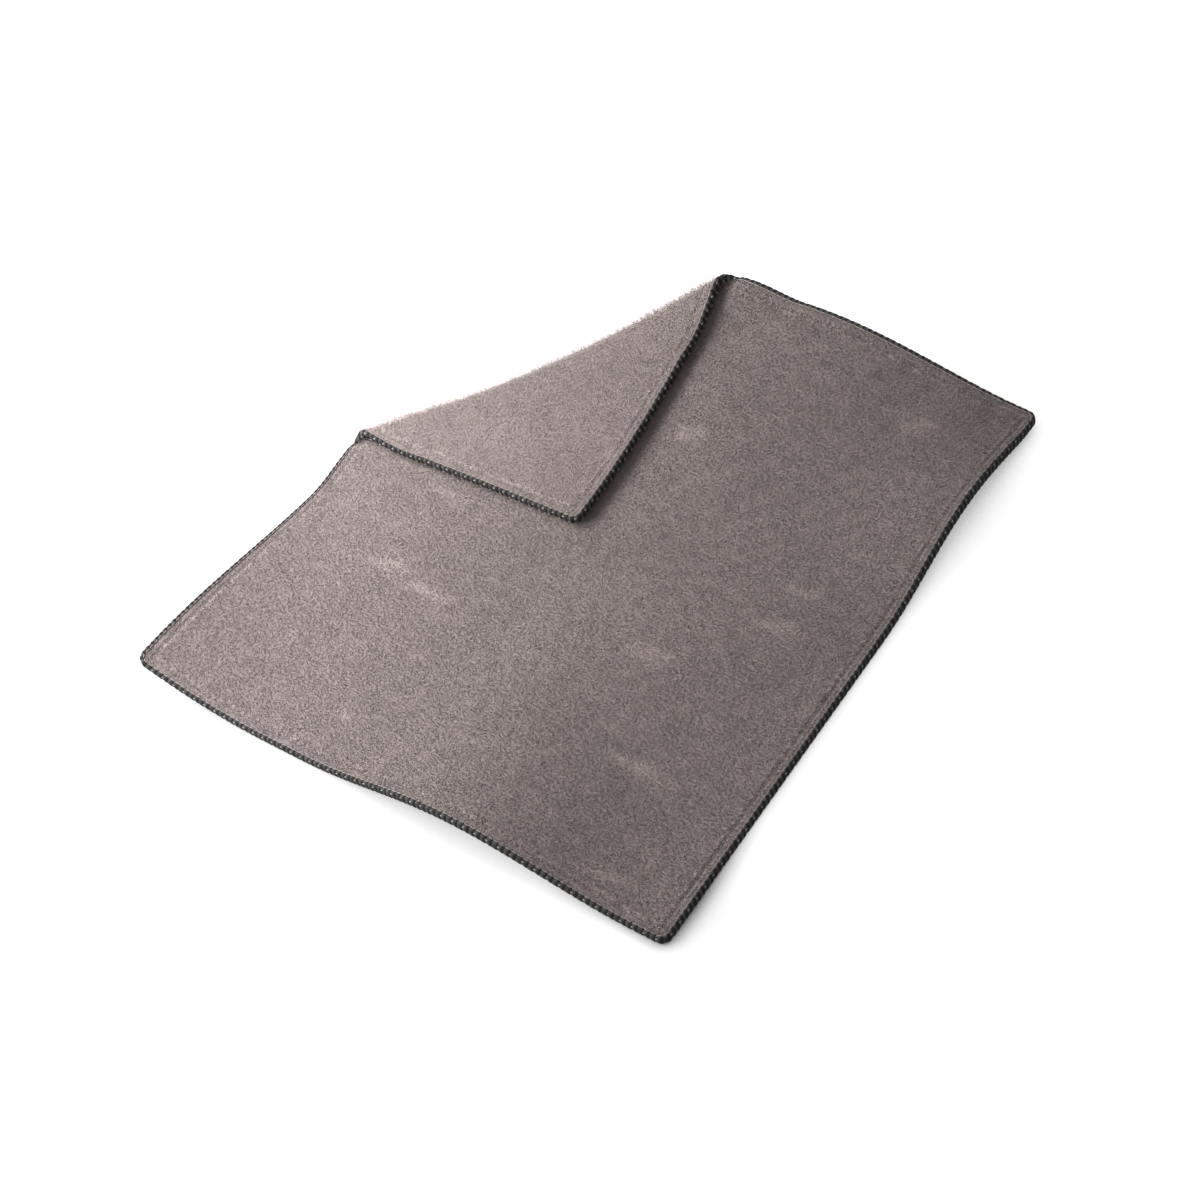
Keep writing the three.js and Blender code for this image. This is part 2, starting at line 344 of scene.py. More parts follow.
def add_shades(tree, scale, detail, low, high, dark, light=WHITE):
    return add_ramp(tree, add_noise(tree, scale, detail), low, high, dark, light)


def thread_material(name, dark, light):
    material, tree, shader = new_material(name)
    colour = add_shades(tree, *SHADING, dark, light)
    twist = {"Strength": TWIST_STRENGTH, "Distance": TWIST_HEIGHT, "Height": add_noise(tree, *TWIST)}
    normal = add_node(tree, "ShaderNodeBump", twist).outputs["Normal"]
    set_inputs(tree, shader, {**THREAD_FINISH, "Base Color": colour, "Normal": normal})
    print(name, "has", len(tree.nodes), "nodes")
    return material


DARK_THREAD = thread_material("dark_thread", (0.0165, 0.016, 0.0157), (0.029, 0.0281, 0.0275))
GREY_THREAD = thread_material("grey_thread", (0.046, 0.0446, 0.0435), (0.09, 0.0872, 0.085))
# loop thread, painted pale as a glint
PAINTED_GLINT_THREAD = thread_material("painted_glint_thread", (0.2, 0.192, 0.187), (0.37, 0.356, 0.346))
TAUPE_THREAD = thread_material("taupe_thread", (0.29, 0.248, 0.238), (0.41, 0.355, 0.342))

# %% [markdown]
# ## Plush
#
# The pile is a taupe microfibre: grainy, faintly mottled, paler where it was stroked the other way, with
# painted shade towards its roots, and with a soft sheen. Pale specks on the seam ridge are a painted
# highlight.
# The reverse is painted paler than the face, partly as a paler side of the cloth and partly as a painted
# sheen of its nap. The fringe along the fold is painted the palest, as a painted highlight. Each shade is a
# ramp over noise or over a value stored on the mesh, and shades are multiplied.

# %% Plush materials
PLUSH_FINISH = {
    "Roughness": 0.95, "Specular IOR Level": 0.1,
    "Sheen Weight": 0.2, "Sheen Roughness": 0.5, "Sheen Tint": (0.9, 0.82, 0.8, 1),
}
GRAIN = (2000, 2, 0.32, 0.68)
MOTTLE = (14, 5, 0.35, 0.65)
MOTTLE_SHADE = 0.92
BRUSHING = (38, 5, 0.45, 0.65)
BRUSHING_SHADE = 0.94
# darkest where the pile is neither stroked the other way nor under the painted highlight of the seam ridge
PLAIN_PILE_SHADE = 0.66
# painted shade: fibres are darkened towards their roots, where the pile shades itself
ROOT_PAINTED_SHADE = 0.7
ROOT_END = 0.8  # share of a fibre's length


def add_attribute(tree, name):
    return add_node(tree, "ShaderNodeAttribute", attribute_name=name).outputs["Fac"]


def grey(value):
    return (value, value, value)


def multiply(tree, first, second):
    inputs = {"Factor": 1, "A": first, "B": second}
    mix = add_node(tree, "ShaderNodeMix", inputs, data_type="RGBA", blend_type="MULTIPLY")
    return mix.outputs["Result"]


def plush_material(name, dark, light, paint_root_shade=True, plain_shade=PLAIN_PILE_SHADE):
    material, tree, shader = new_material(name)
    fine = add_shades(tree, *GRAIN, dark, light)
    mottled = add_shades(tree, *MOTTLE, grey(MOTTLE_SHADE))
    brushed = add_shades(tree, *BRUSHING, grey(BRUSHING_SHADE))
    # paler where the pile was stroked the other way, and painted highlight specks on the seam ridge
    stroked_and_highlight = add_ramp(tree, add_attribute(tree, "stroked_and_highlight"), 0, 1, grey(plain_shade))
    colour = multiply(tree, multiply(tree, fine, stroked_and_highlight), multiply(tree, mottled, brushed))
    # painted shade at the roots of the fibres
    if paint_root_shade:
        roots = add_ramp(tree, add_attribute(tree, "tip"), 0, ROOT_END, grey(ROOT_PAINTED_SHADE))
        colour = multiply(tree, colour, roots)
    set_inputs(tree, shader, {**PLUSH_FINISH, "Base Color": colour})
    print(name, "has", len(tree.nodes), "nodes")
    return material


GROUND = plush_material("plush_ground", (0.276, 0.231, 0.221), (0.405, 0.34, 0.327), paint_root_shade=False)
FACE_PILE = plush_material("face_pile", (0.315, 0.264, 0.253), (0.552, 0.463, 0.446))
# the reverse is painted paler than the face: partly a paler side of the cloth, partly a painted sheen of its
# nap
REVERSE_PILE_PAINTED_SHEEN = plush_material("reverse_pile", (0.475, 0.399, 0.383), (0.789, 0.663, 0.639))
# palest of all, as a painted highlight where the fold catches the light, with no painted root shade
FRINGE_PILE_PAINTED_HIGHLIGHT = plush_material("fringe_pile_painted_highlight", (0.65, 0.565, 0.548), (0.82, 0.73, 0.71), False, 1)

# %% [markdown]
# ## Hem and seam groove
#
# At the edge the overlock presses both layers together. A narrow hem runs as far as the border seam, which
# draws the cloth in, and inside it the pile has its full height. The groove could be sculpted, but as a
# function of the distance from the edge it follows the corners by itself. It is shallower than the CAD
# model's, because the pile on both sides makes it look deeper.

# %% Height of the pile over the flat cloth
PRESSED = 2.1 * MM  # half the thickness under the overlock
RIM_RISE = 0.9 * MM  # width over which the pile recovers its height
ROUNDING = 0.5 * MM  # fall of the hem towards the edge
ROUNDING_WIDTH = 8 * MM
SEAM_INSET = 5.5 * MM
SEAM_DIP = 0.7 * MM
SEAM_DIP_WIDTH = 3.6 * MM


def edge_distance(x, y):
    """How far inside the edge of the flat cloth a point is."""
    dx = np.abs(x) - (HALF - CORNER_RADIUS)
    dy = np.abs(y) - (HALF - CORNER_RADIUS)
    outside = np.hypot(np.maximum(dx, 0), np.maximum(dy, 0))
    return CORNER_RADIUS - outside - np.minimum(np.maximum(dx, dy), 0)


def smooth(value):
    value = np.clip(value, 0, 1)
    return value * value * (3 - 2 * value)


def pile_height(x, y):
    distance = edge_distance(x, y)
    risen = smooth(distance / RIM_RISE)
    fall = ROUNDING * fade(distance, ROUNDING_WIDTH)
    dip = smooth(1 - np.abs(distance - SEAM_INSET) / (SEAM_DIP_WIDTH / 2))
    return PRESSED + (PILE - PRESSED) * risen - fall - SEAM_DIP * dip


print("half thickness in the groove", round(float(pile_height(HALF - SEAM_INSET, 0)), 5), "m")

# %% [markdown]
# ## Brushed patches and painted highlights on the seam
#
# Where a hand stroked the pile the other way it looks paler. The photograph shows a few such patches. The
# pale specks along the seam ridge are a painted highlight, where the ridge catches the light. They could be
# painted as an image. Here each patch is a soft ellipse with a ragged outline, the specks follow the ridge,
# and the result is stored on the mesh, for the material to read.

# %% Where the pile was stroked the other way, and painted highlights on the seam ridge
RIDGE_INSET = 7.2 * MM  # the pile stands up just inside the seam
RIDGE_HALF_WIDTH = 2.6 * MM
# specks of painted highlight along the seam ridge
SPECK_SCALE = (420, 420)
SPECK_SHARE = 0.35
SPECK_CONTRAST = 2
PATCH_STROKE = 0.65  # a patch is fainter than the specks
PATCH_REACH = 1.3
PATCH_RAGGEDNESS = (70, 190)
PATCHES = [  # x, y, half length and half width, in millimetres
    (141, 160, 15, 7), (-113, -60, 19, 7), (-76, -69, 22, 5), (-111, 0, 12, 5),
    (86, -50, 17, 6), (143, 29, 16, 3), (142, 2, 16, 5), (128, -117, 18, 7),
    (-64, -162, 7, 8), (146, -183, 12, 4), (14, 100, 12, 6),
]


def lumps(x, y, scale):
    return np.array([noise.noise(Vector((a * scale[0], b * scale[1], 0))) for a, b in zip(x, y)])


def seam_ridge(x, y):
    return bump(edge_distance(x, y) - RIDGE_INSET, RIDGE_HALF_WIDTH)


def stroked_and_highlight_share(x, y):
    """How far the pile was stroked the other way, with a painted highlight on the seam ridge, from 0 to 1."""
    ragged = lumps(x, y, PATCH_RAGGEDNESS)
    # painted highlight: pale specks where the seam ridge catches the light
    share = seam_ridge(x, y) * smooth(SPECK_SHARE + SPECK_CONTRAST * lumps(x, y, SPECK_SCALE))
    for patch in PATCHES:
        place_x, place_y, half_length, half_width = (size * MM for size in patch)
        reach = np.hypot((x - place_x) / half_length, (y - place_y) / half_width)
        share = np.maximum(share, PATCH_STROKE * smooth(PATCH_REACH - reach + ragged))
    return share


print(len(PATCHES), "patches stroked the other way")

# %% [markdown]
# ## A grid for the flat cloth
#
# The ground of the cloth needs faces fine enough to bend, and finer ones along the rim, where the groove
# is. Subdividing a plane would make all cells alike. A grid of chosen lines, with its corners pulled in to
# a round, puts the faces where they are needed.

# %% Grid with a fine rim
CELL = 2.5 * MM
RIM_CELL = 0.6 * MM
RIM_WIDTH = 12 * MM


def grid_lines():
    rim = np.linspace(0, RIM_WIDTH, round(RIM_WIDTH / RIM_CELL), endpoint=False)
    inner_cells = round((SIDE - 2 * RIM_WIDTH) / CELL)
    inner = np.linspace(RIM_WIDTH - HALF, HALF - RIM_WIDTH, inner_cells + 1)
    return np.concatenate([rim - HALF, inner, HALF - rim[::-1]])


def add_grid_faces(flat, rows):
    for near, far in zip(rows, rows[1:]):
        for i in range(len(near) - 1):
            flat.faces.new((near[i], near[i + 1], far[i + 1], far[i]))


def flat_grid():
    """A square grid with rounded corners, as a bmesh."""
    flat = bmesh.new()
    lines = grid_lines()
    add_grid_faces(flat, [[flat.verts.new((x, y, 0)) for x in lines] for y in lines])
    inner = HALF - CORNER_RADIUS
    for vertex in flat.verts:
        dx, dy = abs(vertex.co.x) - inner, abs(vertex.co.y) - inner
        if dx > 0 and dy > 0:
            shrink = max(dx, dy) / math.hypot(dx, dy)
            vertex.co.x = math.copysign(inner + dx * shrink, vertex.co.x)
            vertex.co.y = math.copysign(inner + dy * shrink, vertex.co.y)
    return flat


print("grid lines each way", len(grid_lines()))

# %% [markdown]
# ## Cutting at the fold
#
# The real cloth is in one piece here, but its zones move apart, so the sheet is cut at both ends of the
# roll. The strip between gets a grid of its own that runs along the fold, because a half circle of only
# 4 mm needs many rows across it.

# %% Cut the sheet and make the strip
CUT_TOLERANCE = 0.001 * MM
ROLL_CELLS_ALONG = 220
ROLL_CELLS_ACROSS = 24


def cut_at_fold(flat, across, keep_corner):
    geometry = flat.verts[:] + flat.edges[:] + flat.faces[:]
    place = (*fold_point(0, across), 0)
    bmesh.ops.bisect_plane(flat, geom=geometry, dist=CUT_TOLERANCE, plane_co=place, plane_no=(*FOLD_OUT, 0),
                           clear_outer=not keep_corner, clear_inner=keep_corner)
    return flat


def roll_grid():
    """The strip that goes round the fold, as a bmesh with finer cells at its ends."""
    flat = bmesh.new()
    rows = []
    shares = (1 - np.cos(np.pi * np.arange(ROLL_CELLS_ALONG + 1) / ROLL_CELLS_ALONG)) / 2
    for j in range(ROLL_CELLS_ACROSS + 1):
        across = ROLL_LENGTH * j / ROLL_CELLS_ACROSS
        first = -across * FOLD_OUT[0] / FOLD_ALONG[0] / FOLD_LENGTH
        last = (HALF - FOLD_START[1] - across * FOLD_OUT[1]) / FOLD_ALONG[1] / FOLD_LENGTH
        places = [fold_point(first + (last - first) * share, across) for share in shares]
        rows.append([flat.verts.new((*place, 0)) for place in places])
    add_grid_faces(flat, rows)
    return flat


class FlatSheet:
    """Points, faces, rim and stroking of one zone of the flat cloth."""

    def __init__(self, flat):
        flat.verts.index_update()
        self.points = np.array([vertex.co[:2] for vertex in flat.verts])
        self.faces = [[vertex.index for vertex in face.verts] for face in flat.faces]
        loops = [edge.link_loops[0] for edge in flat.edges if edge.is_boundary]
        self.rim = [(loop.vert.index, loop.link_loop_next.vert.index) for loop in loops]
        self.area = sum(face.calc_area() for face in flat.faces)
        self.stroked_and_highlight = stroked_and_highlight_share(*self.points.T)
        flat.free()


sheets = {
    "lying": FlatSheet(cut_at_fold(flat_grid(), 0, False)),
    "roll": FlatSheet(roll_grid()),
    "corner": FlatSheet(cut_at_fold(flat_grid(), ROLL_LENGTH, True)),
}
for zone, sheet in sheets.items():
    print(zone, "flat area", round(sheet.area, 5), "faces", len(sheet.faces))

# %% [markdown]
# ## Growing with Geometry Nodes
#
# Fibres and stitches are thousands of copies of one small shape. Arrays or particles could place them. A node
# group does it with named inputs, and its result becomes a plain mesh that can be laid like every other
# piece. It ends by realizing its instances, because an export would lose them.

# %% Helpers for node groups
def new_group(name, inputs):
    """A geometry node group with these inputs: (name, socket type, value). Also gives its input node."""
    group = bpy.data.node_groups.new(name, "GeometryNodeTree")
    group.interface.new_socket("Geometry", in_out="INPUT", socket_type="NodeSocketGeometry")
    group.interface.new_socket("Geometry", in_out="OUTPUT", socket_type="NodeSocketGeometry")
    for label, kind, value in [*inputs, ("Material", "NodeSocketMaterial", None)]:
        socket = group.interface.new_socket(label, in_out="INPUT", socket_type=kind)
        if value is not None:
            socket.default_value = value
    return group, group.nodes.new("NodeGroupInput").outputs


def end_group(group, start, instances):
    """Realizes the instances, gives them their material and ends the group."""
    real = add_node(group, "GeometryNodeRealizeInstances", {"Geometry": instances}).outputs["Geometry"]
    inputs = {"Geometry": real, "Material": start["Material"]}
    finished = add_node(group, "GeometryNodeSetMaterial", inputs).outputs["Geometry"]
    add_node(group, "NodeGroupOutput", {"Geometry": finished})
    print("node group", group.name, "has", len(group.nodes), "nodes")
    return group


def grow(name, source, group, values):
    """A new object with what a node group grows on a flat mesh. The mesh is used up."""
    holder = link_object(name + "_source", source)
    modifier = holder.modifiers.new("grow", "NODES")
    modifier.node_group = group
    for item in group.interface.items_tree:
        if item.in_out == "INPUT" and item.name in values:
            modifier[item.identifier] = values[item.name]
    holder.update_tag()
    grown = holder.evaluated_get(bpy.context.evaluated_depsgraph_get())
    mesh = bpy.data.meshes.new_from_object(grown)
    bpy.data.objects.remove(holder)
    mesh.name = name
    return link_object(name, mesh)


def print_triangles(piece):
    print(piece.name, "triangles", sum(len(face.vertices) - 2 for face in piece.data.polygons))


print("faces to grow on", sum(len(sheet.faces) for sheet in sheets.values()))

# %% [markdown]
# ## Fibres
#
# Plush is a knitted ground with soft fibres standing on it. Hair curves are the usual way, but they aren't a
# mesh. Here each fibre is a closed spike with three sides, scattered on the ground and leaning at random. It
# stores how far up its points are, as `tip`, so that the material can paint shade at the roots. The mesh it
# grows on says, as `share`, how long the pile is there.

# %% Node group for the pile
FIBRES = {"Density": 1.9e6, "Length": 1.3 * MM, "Radius": 0.2 * MM, "Lean": 0.9}
FIBRE_SIDES = 3
SHORTEST_FIBRE = 0.6
LONGEST_FIBRE = 1.25


def add_math(tree, operation, first, second):
    return add_node(tree, "ShaderNodeMath", {0: first, 1: second}, operation=operation).outputs["Value"]


def fibre_nodes(group, start):
    """One fibre, with the height of its points stored as a share of its length."""
    cone = {"Vertices": FIBRE_SIDES, "Radius Top": 0,
            "Radius Bottom": start["Radius"], "Depth": start["Length"]}
    fibre = add_node(group, "GeometryNodeMeshCone", cone).outputs["Mesh"]
    position = add_node(group, "GeometryNodeInputPosition").outputs["Position"]
    height = add_node(group, "ShaderNodeSeparateXYZ", {"Vector": position}).outputs["Z"]
    tip = {"Geometry": fibre, "Name": "tip", "Value": add_math(group, "DIVIDE", height, start["Length"])}
    return add_node(group, "GeometryNodeStoreNamedAttribute", tip).outputs["Geometry"]


def lean_nodes(group, start, upright):
    """A random lean to every side, and any turn of the fibre about itself."""
    lean = start["Lean"]
    back = add_math(group, "MULTIPLY", lean, -1)
    least = add_node(group, "ShaderNodeCombineXYZ", {"X": back, "Y": back}).outputs["Vector"]
    most = add_node(group, "ShaderNodeCombineXYZ", {"X": lean, "Y": lean, "Z": 2 * math.pi}).outputs["Vector"]
    inputs = {"Min": least, "Max": most, "Seed": start["Seed"]}
    chance = add_node(group, "FunctionNodeRandomValue", inputs, data_type="FLOAT_VECTOR").outputs["Value"]
    inputs = {"Rotation": upright, "Rotate By": chance}
    return add_node(group, "FunctionNodeRotateRotation", inputs, rotation_space="LOCAL").outputs["Rotation"]


def pile_group():
    sizes = [(label, "NodeSocketFloat", value) for label, value in FIBRES.items()]
    group, start = new_group("pile", [*sizes, ("Seed", "NodeSocketInt", 1)])
    inputs = {"Mesh": start["Geometry"], "Density": start["Density"], "Seed": start["Seed"]}
    scatter = add_node(group, "GeometryNodeDistributePointsOnFaces", inputs)
    inputs = {"Min": SHORTEST_FIBRE, "Max": LONGEST_FIBRE, "Seed": start["Seed"]}
    size = add_node(group, "FunctionNodeRandomValue", inputs, data_type="FLOAT").outputs["Value"]
    share = add_node(group, "GeometryNodeInputNamedAttribute", {"Name": "share"}).outputs["Attribute"]
    plant = add_node(group, "GeometryNodeInstanceOnPoints", {
        "Points": scatter.outputs["Points"],
        "Instance": fibre_nodes(group, start),
        "Rotation": lean_nodes(group, start, scatter.outputs["Rotation"]),
        "Scale": add_math(group, "MULTIPLY", size, share),
    })
    return end_group(group, start, plant.outputs["Instances"])


PILE_GROUP = pile_group()

# %% [markdown]
# ## Pile on the lying cloth
#
# The photograph shows the face, so it gets the full pile, in columns that keep each mesh light. The underside
# rests on the floor and needs only a thin one. Just inside the seam, which presses it up, the pile is a
# little longer.

# %% Pile on the lying cloth
FACE, REVERSE = 1, -1
GROUND_DROP = 0.7 * MM  # from the top of the pile down to the knitted ground
PILE_START = RIM_RISE / 4  # distance from the edge
RIDGE_SHARE = 0.2
COLUMNS = 8
UNDERSIDE = {"Density": 0.25e6, "Length": 1.0 * MM}


def pile_share(x, y):
    return 1 + RIDGE_SHARE * seam_ridge(x, y)


def pile_ground(sheet, side, span, share):
    """One face of the ground, inside the overlock and between two values of x, as a flat mesh."""
    x, y = sheet.points.T
    clear = edge_distance(x, y) > PILE_START
    height = side * (pile_height(x, y) - GROUND_DROP)
    chosen = [face if side == FACE else face[::-1] for face in sheet.faces
              if all(clear[i] for i in face) and span[0] <= x[face].mean() < span[1]]
    mesh = bpy.data.meshes.new("pile_ground")
    mesh.from_pydata([tuple(point) for point in np.column_stack([x, y, height])], [], chosen)
    for label, values in (("share", share(x, y)), ("stroked_and_highlight", sheet.stroked_and_highlight)):
        attribute = mesh.attributes.new(label, "FLOAT", "POINT")
        attribute.data.foreach_set("value", values.astype(np.float32))
    return mesh


def add_pile(name, zone, side, material, seed, fibres=(), span=(-SIDE, SIDE), share=pile_share):
    """Pile on one side of a zone. `fibres` holds the sizes that differ from those in FIBRES."""
    ground = pile_ground(sheets[zone], side, span, share)
    values = {**FIBRES, **dict(fibres), "Seed": seed, "Material": material}
    piece = grow(name, ground, PILE_GROUP, values)
    print_triangles(piece)
    return put_in_zone(piece, zone)


pile = {zone: [] for zone in sheets}
for column in range(COLUMNS):
    span = (-HALF + SIDE * column / COLUMNS, -HALF + SIDE * (column + 1) / COLUMNS)
    pile["lying"].append(add_pile(f"face_pile_{column + 1}", "lying", FACE, FACE_PILE, column, span=span))
pile["lying"].append(add_pile("reverse_pile", "lying", REVERSE, REVERSE_PILE_PAINTED_SHEEN, 11, UNDERSIDE))

# %% [markdown]
# ## Fringe along the fold
#
# Where the cloth turns over, its pile spreads and catches the light as a ragged pale fringe. That light is
# painted: the fringe pile has the palest colour and no painted root shade, as a painted highlight. Longer
# fibres everywhere would blur the flat cloth. So only the outer side of the roll gets a finer and longer
# pile, longest high on the roll and in two tufts near its ends.

# %% Pile round the fold
FRINGE = {"Density": 2.4e6, "Length": 3.6 * MM, "Radius": 0.16 * MM, "Lean": 0.6}
FRINGE_LEAST = 0.3  # share of the full length
FRINGE_CREST = 0.7  # shares of the way round the fold
FRINGE_HALF_WIDTH = 0.4
TUFTS = [  # shares of the fold's length: centre and half length, and how much longer
    (0.18, 0.17, 0.8), (0.82, 0.17, 0.6),
]
TUFT_SCALE = (350, 350)
TUFT_RAGGEDNESS = 0.9


def fringe_share(x, y):
    along, across = fold_coordinates(x, y)
    crest = bump(across - FRINGE_CREST * ROLL_LENGTH, FRINGE_HALF_WIDTH * ROLL_LENGTH)
    ragged = 1 + TUFT_RAGGEDNESS * lumps(x, y, TUFT_SCALE)
    longer = 1 + sum(gain * bump(along - centre, reach) for centre, reach, gain in TUFTS)
    return FRINGE_LEAST + (1 - FRINGE_LEAST) * crest * ragged * longer


pile["roll"].append(add_pile("roll_face_pile", "roll", FACE, FACE_PILE, 12))
# the fringe carries a painted highlight in its colour
pile["roll"].append(add_pile("roll_reverse_pile", "roll", REVERSE, FRINGE_PILE_PAINTED_HIGHLIGHT, 13, FRINGE,
                             share=fringe_share))

# %% [markdown]
# ## Pile on the folded corner
#
# The corner shows its reverse, which gets the full pile. Its face is seen only when the corner is opened, so
# a thinner pile will do there.

# %% Pile on the folded corner
COVERED = {"Density": 0.6e6}
pile["corner"].append(add_pile("corner_face_pile", "corner", FACE, FACE_PILE, 14, COVERED))
# the folded corner shows the reverse, painted paler with a painted sheen
pile["corner"].append(add_pile("corner_reverse_pile", "corner", REVERSE, REVERSE_PILE_PAINTED_SHEEN, 15))

# %% [markdown]
# ## Edge paths
#
# Threads follow the edge of the flat cloth, counter-clockwise seen from the face. A curve object could
# carry them, but it would have to be cut where the zones meet. A list of points is easily split into runs.

# %% Paths round the cloth
EDGE_STEP = 1 * MM
LEAST_STEPS = 3  # round a corner


def edge_path(inset, radius):
    """Points and inward directions of a path round the flat cloth."""
    reach = HALF - inset
    straight = reach - radius
    points, inwards = [], []
    for side in range(4):
        ahead = np.array([math.cos(side * math.pi / 2), math.sin(side * math.pi / 2)]).round()
        inward = np.array([-ahead[1], ahead[0]])
        count = round(2 * straight / EDGE_STEP)
        for i in range(count):
            points.append(ahead * straight * (2 * i / count - 1) - inward * reach)
            inwards.append(inward)
        centre = ahead * straight - inward * straight
        turns = max(LEAST_STEPS, round(radius * math.pi / 2 / EDGE_STEP))
        for i in range(turns):
            angle = math.pi / 2 * i / turns
            outward = -inward * math.cos(angle) + ahead * math.sin(angle)
            points.append(centre + outward * radius)
            inwards.append(-outward)
    return np.array(points), np.array(inwards)


def zone_runs(points, zone):
    """Index runs of a closed path that lie in a zone. Neighbouring zones share their end points."""
    across = fold_coordinates(*points.T)[1]
    before, after = across < 0, across >= ROLL_LENGTH
    inside = {"lying": before, "roll": ~before & ~after, "corner": after}[zone]
    count = len(points)
    runs = []
    for first in range(count):
        if inside[first] and not inside[first - 1]:
            last = first
            while inside[(last + 1) % count]:
                last += 1
            runs.append([i % count for i in range(first, last + 2)])
    return runs


edge_points, edge_inwards = edge_path(0, CORNER_RADIUS)
for zone in sheets:
    print(zone, "runs of the edge", [len(run) for run in zone_runs(edge_points, zone)])

# %% [markdown]
# ## Core of the overlock
#
# The looper threads pack into a bead round the raw edge. A bevelled curve would give a round bead. The real
# one is flat on both faces and full at the edge, so its section is drawn and swept, as rings of points.

# %% Core of the overlock
CORE_HALF = [(0.8, 1.9), (0.4, 2.75), (-0.3, 2.7), (-0.9, 2.2), (-1.25, 1.3)]  # inset and depth, in mm
CORE_OUTERMOST = (-1.4, 0)
CORE_SECTION = [*CORE_HALF, CORE_OUTERMOST, *[(inset, -depth) for inset, depth in reversed(CORE_HALF)]]


def new_object(name, vertices, faces, material):
    mesh = bpy.data.meshes.new(name)
    mesh.from_pydata([tuple(vertex) for vertex in vertices], [], [tuple(face) for face in faces])
    mesh.materials.append(material)
    mesh.shade_smooth()
    return link_object(name, mesh)


def ring_faces(rings, sides):
    """Faces of a closed body made of rings of points."""
    faces = []
    for first in range(0, (rings - 1) * sides, sides):
        for m in range(sides):
            a, b = first + m, first + (m + 1) % sides
            faces.append((a, b, b + sides, a + sides))
    return [*faces, tuple(range(sides))[::-1], tuple(range((rings - 1) * sides, rings * sides))]


def joined(bodies):
    """Vertices and faces of several bodies as one list each."""
    vertices, faces = [], []
    for more, sides in bodies:
        faces += [tuple(i + len(vertices) for i in side) for side in sides]
        vertices += list(more)
    return vertices, faces


def core_body(run):
    vertices = [(*(edge_points[i] + edge_inwards[i] * inset * MM), depth * MM)
                for i in run for inset, depth in CORE_SECTION]
    return vertices, ring_faces(len(run), len(CORE_SECTION))


for zone in sheets:
    bodies = [core_body(run) for run in zone_runs(edge_points, zone)]
    core = new_object(f"overlock_core_{zone}", *joined(bodies), GREY_THREAD)
    print_triangles(core)
    put_in_zone(core, zone)

# %% [markdown]
# ## Stitches along a path
#
# Sewing repeats one stitch at an even pitch. A node group puts a stitch at every point of a line, turned
# along the line. The stitch is a small tube drawn with X ahead, Y inwards and Z towards the face.

# %% Node group for stitches
def stitch_group():
    group, start = new_group("stitches", [("Stitch", "NodeSocketObject", None)])
    line = add_node(group, "GeometryNodeMeshToCurve", {"Mesh": start["Geometry"]}).outputs["Curve"]
    tangent = add_node(group, "GeometryNodeInputTangent").outputs["Tangent"]
    turn = add_node(group, "FunctionNodeAlignRotationToVector", {"Vector": tangent}, axis="X", pivot_axis="Z")
    stitch = add_node(group, "GeometryNodeObjectInfo", {"Object": start["Stitch"]}).outputs["Geometry"]
    inputs = {"Points": line, "Instance": stitch, "Rotation": turn.outputs["Rotation"]}
    sew = add_node(group, "GeometryNodeInstanceOnPoints", inputs)
    return end_group(group, start, sew.outputs["Instances"])


STITCH_GROUP = stitch_group()

# %% [markdown]
# ## Lines of stitches
#
# A sewing machine makes even stitches. Putting one at each point of a path would bunch them at the corners.
# So they are spaced by length, an even number on each run, and every second gap comes out alike.

# %% Lines of stitches
def stitch_places(path, pitch, shift, first, every):
    """Evenly spaced places along a path. A shift of a half puts them between the others."""
    lengths = np.append(0, np.cumsum(np.linalg.norm(np.diff(path, axis=0), axis=1)))
    count = 2 * max(2, round(lengths[-1] / pitch / 2))
    places = (np.arange(first, count, every) + 0.5 + shift) * lengths[-1] / count
    return np.column_stack([np.interp(places, lengths, path[:, 0]), np.interp(places, lengths, path[:, 1])])


def stitch_lines(points, runs, *spacing):
    """Lines with a point for each stitch along runs of a path."""
    vertices, edges = [], []
    for run in runs:
        places = stitch_places(points[run], *spacing)
        edges += [(len(vertices) + i, len(vertices) + i + 1) for i in range(len(places) - 1)]
        vertices += [(*place, 0) for place in places]
    mesh = bpy.data.meshes.new("stitch_lines")
    mesh.from_pydata(vertices, edges, [])
    return mesh


def add_stitches(name, points, stitch, pitch, material, shift=0.0, first=0, every=1):
    """The same stitch along the lying cloth, the roll and the folded corner."""
    pattern = new_object(name, *stitch, material)
    pieces = {}
    for zone in sheets:
        lines = stitch_lines(points, zone_runs(points, zone), pitch, shift, first, every)
        values = {"Stitch": pattern, "Material": material}
        piece = grow(f"{name}_{zone}", lines, STITCH_GROUP, values)
        piece.data.shade_smooth()
        print_triangles(piece)
        pieces[zone] = put_in_zone(piece, zone)
    bpy.data.objects.remove(pattern)
    return pieces


print("edge to sew, about", round(len(edge_points) * EDGE_STEP, 3), "m")

# %% [markdown]
# ## Wraps of the overlock
#
# The dark looper thread crosses the edge at an even pitch, slanting a little. A striped texture could suggest
# it, but the bumps show in the outline. So each wrap is a flat band of thread, thinner towards its ends,
# where it goes into the cloth.

# %% Wraps of the overlock
OVERLOCK_PITCH = 4 * MM
TUBE_TAPER = 0.5
WRAP_HALF = [  # ahead, inset and depth, in millimetres
    (0.55, 0.9, 2.3), (0.5, 0.4, 2.75), (0.42, -0.4, 2.7), (0.3, -0.95, 2.1), (0.15, -1.25, 1.2),
]
WRAP_OUTERMOST = (0, -1.35, 0)
WRAP_MIRRORED = [(-ahead, inset, -depth) for ahead, inset, depth in reversed(WRAP_HALF)]
WRAP_RADIUS = 1.25 * MM
WRAP_FLATNESS = 0.25
WRAP_SIDES = 8


